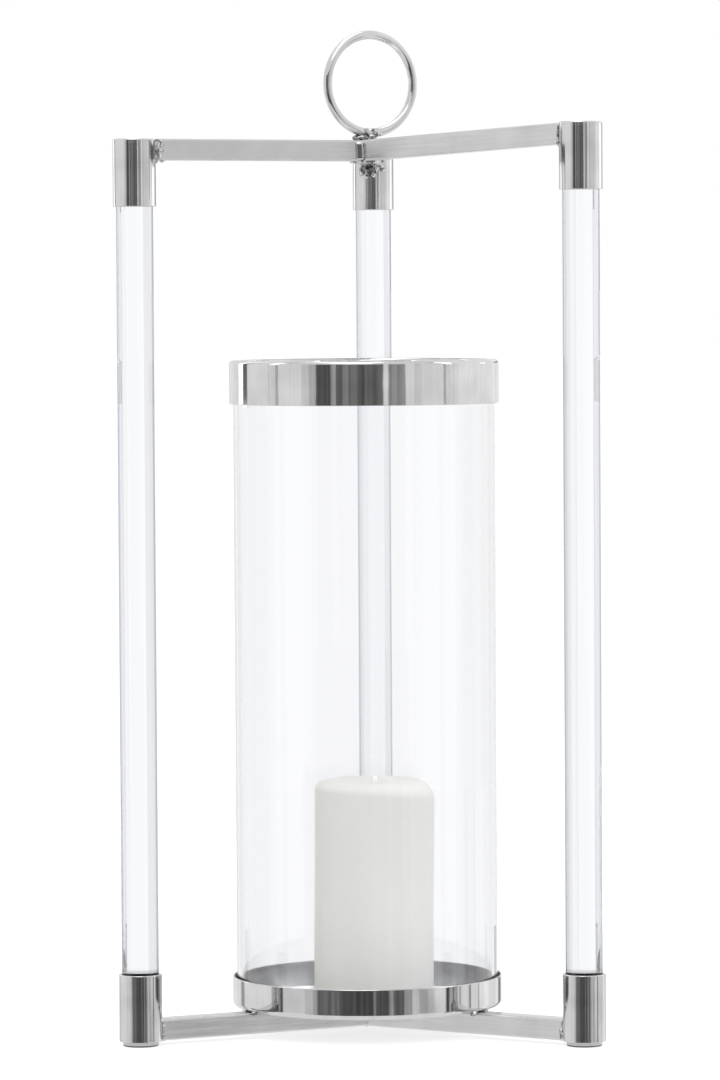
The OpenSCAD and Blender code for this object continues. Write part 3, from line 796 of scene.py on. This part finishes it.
for side in SIDES:
    centre = size_of(side + "_rod")[2][:2]
    foot_low, foot_high, _, foot_size = size_of(side + "_foot")
    make_piece(side + "_foot_pad", [patch(lathe(disc_outline(
        foot_size[0] / 2, foot_low[2], foot_high[2], 0.5 * mm, 0.3 * mm), centre, 64))],
        vinyl, "frame", [side + "_foot"])
    low, high = size_of(side + "_bottom_ferrule")[:2]
    make_piece(side + "_bottom_ferrule_tube", [patch(lathe(tube_outline(
        bore_r, ferrule_r, low[2], high[2], 0.4 * mm), centre), closed_rows=True)],
        nickel_scuffed, "frame", [side + "_bottom_ferrule"])
    low, high = size_of(side + "_rod")[:2]
    make_piece(side + "_clear_rod", [patch(lathe(disc_outline(
        rod_r, low[2], high[2], 0.5 * mm, 0.5 * mm), centre))],
        acrylic, "frame", [side + "_rod"])
    low, high = size_of(side + "_top_ferrule")[:2]
    make_piece(side + "_top_ferrule_tube", [patch(lathe(rounded_outline(
        [(bore_r, low[2]), (ferrule_r, low[2]), (ferrule_r, high[2]), (bore_r, high[2])],
        [0.3 * mm, 0.4 * mm, 0.03 * mm, 0.1 * mm], steps=5, ease=0.03 * mm), centre),
        closed_rows=True)],
        nickel_turned, "frame", [side + "_top_ferrule"])
    low, high = size_of(side + "_top_cap")[:2]
    make_piece(side + "_ferrule_cap", [patch(lathe(cap_outline(
        ferrule_r, bore_r, low[2], high[2]), centre))],
        nickel_turned, "frame", [side + "_top_cap"])
print("posts at", [tuple((size_of(side + "_rod")[2][:2] / mm).round(1).tolist()) for side in SIDES])

# %% [markdown]
# ## Arms
# An arm is square tube, mitred against its two neighbours at the hub and coped at the other
# end to fit the round ferrule. Both cuts are one formula each: at a distance y from the
# centreline the mitre starts |y| / tan 60 from the hub's axis, and the cope ends at
# R - sqrt(r^2 - y^2) from it. Every point of the square outline is carried from its own start
# to its own end, so the surface is exact without any boolean. The right upper arm climbs to
# its taller post, so its outline is also tipped by that slope. The tube is closed by a flat
# end at either side, and a row very near each end keeps the smooth shading of that flat end
# off the walls.

# %% Arms
def section_outline(width, corner_r, steps=6):
    """Rounded square (y, h), with a point on the centreline of its top and bottom faces."""
    half = width / 2
    return rounded_outline(
        [(half, -half), (half, half), (0, half), (-half, half), (-half, -half), (0, -half)],
        [corner_r, corner_r, 0, corner_r, corner_r, 0], steps=steps)


def arm_points(distance, y, h, side, level):
    """Points at a level distance from the hub's axis, on the arm's tipped centreline.

    With slope a, a point h above the centreline lies at x = (distance + h sin a) / cos a along
    it, and at height x sin a + h cos a above the hub's centre.
    """
    slope = math.atan2(post_rise[side] if level == "top" else 0.0, post_circle_r)
    x = (distance + h * math.sin(slope)) / math.cos(slope)
    points = np.stack([distance, y + 0 * distance,
                       hub_z[level] + x * math.sin(slope) + h * math.cos(slope)], -1)
    return turn(points, post_angle[side])


def mitre(y):
    """Start of the arm at y from its centreline: |y| / tan 60."""
    return np.abs(y) / math.tan(math.radians(60))


def cope(y):
    """End of the arm at y from its centreline: R - sqrt(r^2 - y^2)."""
    return post_circle_r - np.sqrt(ferrule_r ** 2 - y ** 2)


def arm_grid(side, level, rows=48):
    """Rows from the hub to the ferrule, with a point at each end that closes the tube."""
    outline = section_outline(bar_w, bar_corner_r)
    y, h = outline[:, 0], outline[:, 1]
    near = 0.0002
    t = np.concatenate([[0, near], np.linspace(0.01, 0.99, rows), [1 - near, 1]])[:, None]
    walls = arm_points((1 - t) * mitre(y) + t * cope(y), y, h, side, level)
    ends = [arm_points(np.full_like(y, distance), 0 * y, 0 * h, side, level)[None]
            for distance in (0, cope(0.0))]
    return np.concatenate([ends[0], walls, ends[1]])


for level in ("bottom", "top"):
    for side in SIDES:
        make_piece(f"{side}_{level}_arm_tube", [patch(arm_grid(side, level))],
                   nickel_tube, "frame", [f"{side}_{level}_arm"])
print("six arms, each", round(float(cope(0.0)) / mm, 1), "mm from the hub's axis to its ferrule")

# %% [markdown]
# ## Welds at the ferrules
# Where an arm meets its ferrule a bead runs round the tube. On the upper frame it was laid by
# hand and hardly dressed: a low bead with drops and spatter on it, and a knot in the corner
# below; on top it is ground flush. On the lower frame the welds are small and nearly ground
# away. The bead is a ring of small ellipses carried round the square outline: its centre
# stays on the cope line and its thickness wanders. Drops are lumps scattered near it with a
# fixed seed, and the knots are placed lump by lump. The largest, under the back arm, has two
# lumps painted darker: painted shade under the arm.

# %% Ferrule welds
def outline_walk(count):
    """Points (y, h) at even steps round the arm's outline, and their smoothed outward ways."""
    outline = section_outline(bar_w, bar_corner_r, steps=10)
    ring = np.concatenate([outline, outline[:1]])
    walk = np.concatenate([[0], np.cumsum(np.linalg.norm(np.diff(ring, axis=0), axis=1))])
    s = np.linspace(0, walk[-1], count, endpoint=False)
    place = np.stack([np.interp(s, walk, ring[:, 0]), np.interp(s, walk, ring[:, 1])], -1)
    out = np.sign(place) * np.abs(place / bar_w) ** 3
    return place, out / np.linalg.norm(out, axis=1, keepdims=True)


def ferrule_bead(side, level, length, throat, seed, sides=16):
    """Closed bead round an arm's end: offsets a cos f towards the hub and b sin f outwards."""
    place, out = outline_walk(160)
    y, h = place[:, 0], place[:, 1]
    drift = waves(np.stack([y, h, 0 * y], -1), seed, 9 * mm)
    ground = 1 - 0.85 * np.clip((out[:, 1] - 0.3) / 0.5, 0, 1)
    b = throat * (1 + 0.55 * drift) * ground
    a = length / 2 * (1 + 0.35 * waves(np.stack([h, y, 0 * y], -1), seed + 1, 8 * mm))
    f = np.linspace(0, 2 * np.pi, sides, endpoint=False)[None]
    distance = cope(np.clip(y, -ferrule_r, ferrule_r))[:, None] - a[:, None] * (0.55 + np.cos(f))
    rise = b[:, None] * np.sin(f) - 0.15 * mm
    across, up = y[:, None] + out[:, :1] * rise, h[:, None] + out[:, 1:] * rise
    return arm_points(distance, across, up, side, level)


def drops(side, level, count, reach, small, large, seed):
    """Lumps scattered round an arm's end, up to reach from the ferrule, none on the top face."""
    place, out = outline_walk(200)
    below = np.flatnonzero(out[:, 1] < 0.3)
    chance = np.random.default_rng(seed)
    parts = []
    for k in range(count):
        (y, h), size = place[chance.choice(below)], chance.uniform(small, large)
        distance = np.array([float(cope(y)) - chance.uniform(-0.1, 1.0) * reach])
        centre = arm_points(distance, np.array([y]), np.array([h]), side, level)[0]
        axes = size * chance.uniform(0.7, 1.2, 3)
        parts.append(patch(lump(centre, axes, seed + k, rough=0.16, rows=20, sides=30)))
    return parts


def corner_knot(side, level, lumps, seed):
    """Lumps under an arm on the ferrule's near face: (across, drop, (three radii)) in mm."""
    parts = []
    for k, (across, drop, radii) in enumerate(lumps):
        y = np.array([-across * mm])
        distance = cope(y) - 0.25 * radii[1] * mm
        centre = arm_points(distance, y, np.array([-bar_w / 2 - drop * mm]), side, level)[0]
        parts.append(patch(lump(centre, np.array(radii) * mm, seed + k, rough=0.2)))
    return parts


# Per side: the lumps of its knot; and how many drops, how far they reach from the ferrule,
# and the smallest and largest, in mm.
knots = {"left": ((-1.2, 0.3, (1.7, 1.5, 1.6)), (2.4, 0.3, (1.6, 1.3, 1.5))),
         "right": ((1.0, 0.6, (1.3, 1.2, 1.7)), (-4.2, 0.6, (1.4, 1.3, 2.2))),
         "back": ((-6.4, 3.4, (1.5, 1.5, 2.4)), (2.9, 1.6, (2.2, 1.8, 2.2)),
                  (5.8, 1.4, (1.9, 1.6, 1.8)), (-3.4, 6.2, (1.3, 1.3, 1.2)),
                  (1.0, 5.4, (1.4, 1.4, 1.3)))}
# Painted shade: these two lumps of the back knot, under the arm, wear the darker copy of the weld
# finish.
back_shaded_knot = ((-1.9, 2.6, (3.4, 2.8, 3.9)), (-4.9, 1.4, (2.3, 2.0, 2.3)))
spatter = {"left": (22, 5.5, 0.7, 1.3), "right": (7, 1.2, 0.5, 0.9), "back": (9, 4.0, 0.9, 1.6)}

upper_beads = []
for k, side in enumerate(SIDES):
    count, reach, small, large = spatter[side]
    reach, small, large = reach * mm, small * mm, large * mm
    upper_beads.append(patch(ferrule_bead(side, "top", 0.6 * reach + 1 * mm, 0.6 * mm, 20 + k),
                             closed_rows=True))
    upper_beads += drops(side, "top", count, reach, small, large, 100 + 40 * k)
    upper_beads += corner_knot(side, "top", knots[side], 30 + 9 * k)
make_piece("back_ferrule_shaded_bead", corner_knot("back", "top", back_shaded_knot, 70),
           painted_dark_weld, "frame")
make_piece("top_ferrule_weld_beads", upper_beads, weld_metal, "frame",
           ["top_ferrule_welds"])
lower_beads = [patch(ferrule_bead(side, "bottom", 2.6 * mm, 0.4 * mm, 50 + k), closed_rows=True)
               for k, side in enumerate(SIDES)]
make_piece("bottom_ferrule_weld_beads", lower_beads, weld_metal, "frame",
           ["bottom_ferrule_welds"])
print("upper welds:", len(upper_beads) + len(back_shaded_knot), "beads and lumps;",
      "lower welds:", len(lower_beads))

# %% [markdown]
# ## Hub welds and the ring
# The three mitres are closed by short beads: one under each seam and, on the upper hub, a thin
# one up each inner corner and a bright drop below it. At the front of the upper hub the fill
# beside the seam was ground flat, so it is nickel-bright like the tubes. The ring is a single
# turn of round wire, standing on the hub in a knot of weld metal, a little off centre. Two of
# the knot's lumps wear the darker copy of the weld finish.

# %% Hub welds
def hub_beads(level, radius, seed):
    """Bead under each mitre seam; on the upper hub also one up each corner and a drop below it."""
    parts = []
    half = bar_w / 2
    corner = half / math.sin(math.radians(60))
    upper_hub = level == "top"
    seam_end = corner if upper_hub else corner - 3 * mm
    seam_ripple, corner_ripple = 1.7 * mm, 4.3 * mm
    s = np.linspace(0, 1, 40)
    for k, side in enumerate(SIDES):
        seam = post_angle[side] + math.radians(60)
        out = np.array([math.cos(seam), math.sin(seam), 0.0])
        side_way = np.array([-out[1], out[0], 0.0])
        under = out * (s * seam_end)[:, None] + np.array([0, 0, hub_z[level] - half])
        ripple = 1 + 0.18 * np.sin(2 * np.pi * s * corner / seam_ripple)
        parts.append(patch(bead(under, 0.8 * radius * ripple, side_way, (0, 0, 1))))
        if upper_hub:
            climb = np.stack([0 * s, 0 * s, hub_z[level] + (s - 0.5) * 1.9 * half], -1)
            upright = out * (corner + 0.2 * mm) + side_way * 1.6 * mm + climb
            ripple = 1 + 0.06 * np.sin(2 * np.pi * s * bar_w / corner_ripple)
            parts.append(patch(bead(upright, 0.55 * radius * ripple, side_way, out)))
            drop = out * (corner + 0.6 * mm) - side_way * 0.4 * mm + (0, 0, hub_z[level] - half)
            parts.append(patch(lump(drop, (radius, radius, 0.8 * radius), seed + k,
                                    rows=20, sides=28)))
    return parts


def dressed_corner():
    """Fill at the front of the upper hub, left of the seam, with its front ground flat.

    Its path stands upright at (left, front) and is one tube wide, less the tube's corners.
    """
    left, front, height = -0.9 * mm, -8.1 * mm, bar_w - 1.2 * mm
    s = np.linspace(0, 1, 40)
    path = np.stack([left + 0.2 * mm * np.sin(5 * s), front + 0 * s,
                     hub_z["top"] + (s - 0.52) * height], -1)
    return patch(bead(path, np.full_like(s, 1.0), (2.1 * mm, 0.2 * mm, 0), (0.1 * mm, 1.5 * mm, 0),
                      power=0.4))


make_piece("front_corner_weld_dressed", [dressed_corner()], nickel_wire, "frame")
for level, radius in (("top", 1.3 * mm), ("bottom", 0.9 * mm)):
    beads = hub_beads(level, radius, 60)
    make_piece(f"{level}_hub_weld_beads", beads, weld_metal, "frame",
               [f"{level}_hub_weld"])
    print(level, "hub:", len(beads), "beads and drops")

# %% Hanging ring and its weld
_, _, ring_centre, ring_size = size_of("hanging_ring")
wire_r = 2.5 * mm
ring_r = ring_size[2] / 2 - wire_r
ring_turn = math.atan2(ring_size[1] - 2 * wire_r, ring_size[0] - 2 * wire_r)
ring_way = np.array([math.cos(ring_turn), math.sin(ring_turn), 0.0])
ring_side = np.array([-ring_way[1], ring_way[0], 0.0])
print("ring:", round(ring_r / mm, 1), "mm to the wire's middle, turned",
      round(math.degrees(ring_turn), 1), "degrees")

# Points are centre + (R + r cos b)(cos a along + sin a up) + r sin b sideways.
a = np.linspace(0, 2 * np.pi, 240, endpoint=False)[:, None]
b = np.linspace(0, 2 * np.pi, 40, endpoint=False)[None]
from_centre = (ring_r + wire_r * np.cos(b))[..., None]
ray = np.cos(a)[..., None] * ring_way + np.sin(a)[..., None] * np.array([0, 0, 1.0])
ring_grid = ring_centre + from_centre * ray + wire_r * np.sin(b)[..., None] * ring_side
make_piece("hanging_ring_wire", [patch(ring_grid, closed_rows=True)],
           nickel_wire, "frame", ["hanging_ring"])

hub_top = hub_z["top"] + bar_w / 2


def by_ring(along, sideways, height):
    """Place measured along the ring's plane from its lowest point, in metres."""
    foot = np.array([ring_centre[0], ring_centre[1], hub_top])
    return foot + ring_way * along + ring_side * sideways + np.array([0, 0, height])


def ring_lumps(lumps, seed, **shape):
    """Lumps by the ring's foot, each as ((along, sideways, height), (three radii)) in mm."""
    return [patch(lump(by_ring(*(np.array(place) * mm)), np.array(axes) * mm, seed + k, **shape))
            for k, (place, axes) in enumerate(lumps)]


ring_knot = (((-2.2, 0.2, 0.9), (3.6, 2.8, 1.9)), ((0.6, -1.5, 2.9), (3.4, 1.9, 1.9)),
             ((3.9, -0.9, 3.3), (2.4, 1.7, 1.5)), ((-4.8, -0.9, 5.6), (3.0, 1.8, 1.3)),
             ((-1.0, -0.9, 5.9), (2.8, 1.8, 1.2)))
ring_darker_lumps = (((-6.8, -0.2, 1.2), (4.2, 2.9, 2.4)), ((-4.9, -1.2, 2.6), (2.8, 2.1, 2.3)))
make_piece("ring_weld_knot", ring_lumps(ring_knot, 80, rough=0.2),
           weld_metal, "frame", ["ring_weld"])
make_piece("ring_weld_darker_bead", ring_lumps(ring_darker_lumps, 95),
           painted_dark_weld, "frame")

# %% [markdown]
# ## Tray
# The tray is a shallow pan spun from one-millimetre sheet, with a soft lower corner and a
# rolled lip. It lies on the lower arms and is held by a small bead on each side of each arm,
# tucked under its edge.

# %% Tray and its welds
tray_low, tray_high, _, tray_size = size_of("tray")
tray_r = tray_size[0] / 2
tray_inner_r = tray_r - tray_wall
tray_lip_r = 0.42 * mm
z0, z1 = tray_low[2], tray_high[2]
tray_profile = rounded_outline(
    [(0, z0), (tray_r, z0), (tray_r, z1), (tray_inner_r, z1), (tray_inner_r, z0 + tray_wall),
     (0, z0 + tray_wall)],
    [0, tray_corner_r, tray_lip_r, tray_lip_r, tray_corner_r - tray_wall, 0],
    closed=False, steps=10)
make_piece("spun_tray", [patch(lathe(tray_profile, turns=256))],
           nickel_pan, "frame", ["tray"])

# Each weld is a lump under the tray's edge with a rippled tail along the arm, towards the hub.
weld_r = tray_r - 2.6 * mm
tail_steps = np.linspace(-1.5, 5.0, 30)[:, None] * mm
tail_ripple = 1 + 0.2 * np.sin(np.linspace(0, 16, 30))
tray_beads = []
for k, side in enumerate(SIDES):
    way = np.array([math.cos(post_angle[side]), math.sin(post_angle[side]), 0.0])
    off = np.array([-way[1], way[0], 0.0])
    for s in (-1, 1):
        corner = way * weld_r + off * (s * bar_w / 2) + np.array([0, 0, z0 + 0.1 * mm])
        tray_beads.append(patch(lump(corner, (2.4 * mm, 2.4 * mm, 1.9 * mm), 90 + 2 * k + s,
                                     rows=22, sides=30)))
        tail = corner[None] - way * tail_steps
        tray_beads.append(patch(bead(tail, 0.9 * mm * tail_ripple, off, (0, 0, 1))))
make_piece("tray_weld_beads", tray_beads, weld_metal, "frame", ["tray_welds"])
print("tray:", round(2 * tray_r / mm, 1), "mm across, welds:", len(tray_beads) // 2)

# %% [markdown]
# ## Glass and rim band
# The shade is a drawn glass cylinder with fire-polished ends, standing loose in the tray. Its
# upper edge carries a band of spun sheet, folded over the rim: a deep skirt outside, a
# rounded top and a short lip inside. A glass wall must be a closed shell with an inside and
# an outside, or light would bend only once in it, so its outline is a closed loop too.

# %% Glass cylinder and rim band
glass_low, glass_high, _, glass_size = size_of("glass_cylinder")
glass_r = glass_size[0] / 2
glass_profile = rounded_outline(
    [(glass_r - glass_wall, glass_low[2]), (glass_r, glass_low[2]), (glass_r, glass_high[2]),
     (glass_r - glass_wall, glass_high[2])], [glass_edge_r] * 4, steps=8)
make_piece("hurricane_glass", [patch(lathe(glass_profile, turns=256), closed_rows=True)],
           clear_glass, "shade", ["glass_cylinder"])

band_low, band_high, _, band_size = size_of("glass_rim_band")
band_r = band_size[0] / 2
z0, z1 = band_low[2], band_high[2]
lip_outer = glass_r - glass_wall - 0.3 * mm
lip_inner = lip_outer - band_lip_wall
band_profile = rounded_outline(
    [(band_r - band_wall, z0), (band_r, z0), (band_r, z1), (lip_inner, z1),
     (lip_inner, z1 - band_lip_h), (lip_outer, z1 - band_lip_h), (lip_outer, z1 - band_wall),
     (band_r - band_wall, z1 - band_wall)],
    [edge_r, edge_r, band_edge_r, band_edge_r] + [edge_r] * 4, steps=10)
make_piece("spun_rim_band", [patch(lathe(band_profile, turns=256), closed_rows=True)],
           nickel_sheet, "shade", ["glass_rim_band"])
print("glass:", round(2 * glass_r / mm, 1), "mm across, rim band:", round(2 * band_r / mm, 1), "mm")

# %% [markdown]
# ## Candle
# A cast pillar isn't a perfect cylinder: its shoulder is softened by handling, more on one
# side than the other, the top has sunk a little in the middle, and the wall undulates by a
# few tenths of a millimetre. The grid is written row by row for every angle at once: a small
# round at the foot, the wall, a shoulder whose radius grows from left to right, and the top.
# Slow waves then take a little wax away. The wick is three strands twisted together: its
# radius swells three times per turn, and the pattern turns as it climbs.

# %% Candle and wick
candle_low, candle_high, candle_centre, candle_size = size_of("candle")
candle_r = candle_size[0] / 2
z0, z1 = candle_low[2], candle_high[2]
foot_r, sunk = 1.5 * mm, 0.9 * mm
lean_at_foot, lean_gained = -0.3 * mm, 1.0 * mm
shoulder_depth = 12 * mm

angle = np.linspace(0, 2 * np.pi, 192, endpoint=False)[None]
shoulder = 6.0 * mm + 6.0 * mm * ((1 + np.cos(angle - 0.15)) / 2) ** 1.5
quarter = np.linspace(0, np.pi / 2, 9)[:, None]
climb = np.linspace(0, 1, 62)[1:-1, None]
across = np.linspace(1, 0, 16)[1:, None]
foot = (candle_r - foot_r * (1 - np.sin(quarter)) + 0 * angle,
        z0 + foot_r * (1 - np.cos(quarter)) + 0 * angle)
wall = (candle_r + 0 * angle + 0 * climb, z0 + foot_r + climb * (z1 - z0 - foot_r - shoulder))
quarter = np.linspace(0, np.pi / 2, 18)[:, None]
rounding = (candle_r - shoulder * (1 - np.cos(quarter)), z1 - shoulder * (1 - np.sin(quarter)))
surface_top = ((candle_r - shoulder) * across, z1 - sunk * (1 - across ** 2) ** 2 + 0 * angle)
rows_r, rows_z = (np.concatenate(part) for part in zip(foot, wall, rounding, surface_top))
rows_r, rows_z = np.concatenate([0 * angle, rows_r]), np.concatenate([z0 + 0 * angle, rows_z])
wax_grid = np.stack([rows_r * np.cos(angle), rows_r * np.sin(angle), rows_z], -1)

hollow = 0.5 + 0.5 * waves(wax_grid * (1, 1, 0.4), 5, 60 * mm)
wax_grid[..., :2] *= 1 - (0.25 * mm * np.clip(hollow, 0, 1.2) / candle_r)[..., None]
near_top = np.clip((wax_grid[..., 2] - (z1 - shoulder_depth)) / shoulder_depth, 0, 1)
wax_grid[..., 2] -= near_top ** 2 * 0.35 * mm * (1 + waves(wax_grid, 8, 30 * mm))
lean = lean_at_foot + lean_gained * (wax_grid[..., 2] - z0) / (z1 - z0)
wax_grid += np.stack([lean + candle_centre[0], 0 * lean + candle_centre[1], 0 * lean], -1)
wax_grid[..., 2] = np.clip(wax_grid[..., 2], z0, z1)
make_piece("pillar_of_wax", [patch(wax_grid)], wax, "pillar_candle", ["candle"])

wick_low, _, wick_centre, wick_size = size_of("wick")
wick_r = wick_size[0] / 2
s = np.concatenate([[0, 0], np.linspace(0, 1, 90), [1, 1]])[:, None]
fat = np.concatenate([[0, 0.9], np.ones(90), [0.85, 0]])[:, None] * wick_r
height = wick_low[2] + s * wick_size[2]
angle = np.linspace(0, 2 * np.pi, 36, endpoint=False)[None]
strands = 0.84 + 0.16 * np.abs(np.cos(1.5 * angle + height / (2.2 * mm)))
bend = 0.6 * mm * np.clip((s - 0.96) / 0.04, 0, 1) ** 2
wick_x = candle_centre[0] + lean_at_foot + lean_gained * s
wick_grid = np.stack([wick_x + bend + fat * strands * np.cos(angle),
                      wick_centre[1] + fat * strands * np.sin(angle), height + 0 * angle], -1)
make_piece("braided_wick", [patch(wick_grid)], cotton, "pillar_candle", ["wick"])
print("candle:", (candle_size / mm).round(1).tolist(), "mm,",
      "wick", round(2 * wick_r / mm, 1), "mm thick")
